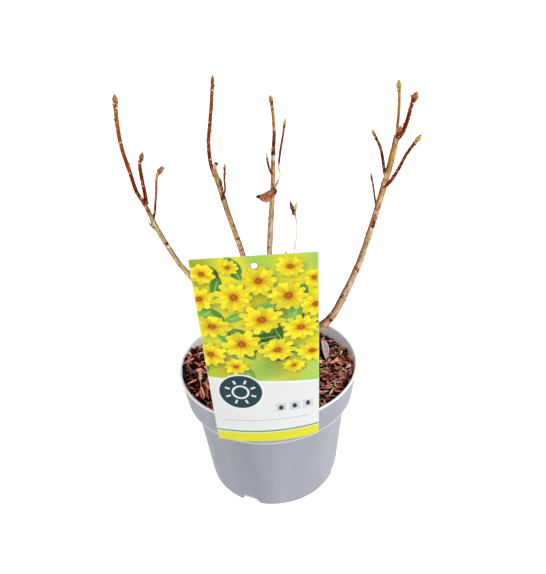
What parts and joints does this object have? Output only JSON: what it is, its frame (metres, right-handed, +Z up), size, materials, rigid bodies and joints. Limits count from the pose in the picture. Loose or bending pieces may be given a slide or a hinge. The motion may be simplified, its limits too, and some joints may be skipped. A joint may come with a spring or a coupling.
{
  "type": "potted azalea in winter rest",
  "caption": "Deciduous azalea in winter rest: bare woody stems with scaly buds, in a bark-mulched round plastic nursery pot with a picture label clipped over the front of its rim.",
  "frame": {"origin": "centre of the pot's underside, on the flat pad that stands level with the foot ring", "axes": "+Z up, the label faces -Y, +X to the viewer's right"},
  "size_m": [0.2311, 0.1779, 0.3789],
  "materials": {
    "pot_plastic": "satin grey polypropylene",
    "peat": "moist dark peat compost",
    "bark_chips": "red-brown bark chips",
    "pale_leaf": "papery grey leaf with a pale edge",
    "bark": "tan bark, red-brown young shoots",
    "thin_twig": "pale thin twig",
    "dry_leaf": "withered brown leaf",
    "label_card": "printed semi-gloss plastic card"
  },
  "bodies": {
    "root": {"pot": "pot_plastic", "soil": "peat", "bark_mulch": "bark_chips", "pale_leaf": "pale_leaf", "stem_left": "bark", "stem_centre_left": "bark", "stem_centre": "bark", "stem_right": "bark", "twig_back": "thin_twig", "twig_low": "thin_twig", "dry_leaf": "dry_leaf", "label": "label_card"}
  },
  "joints": []
}
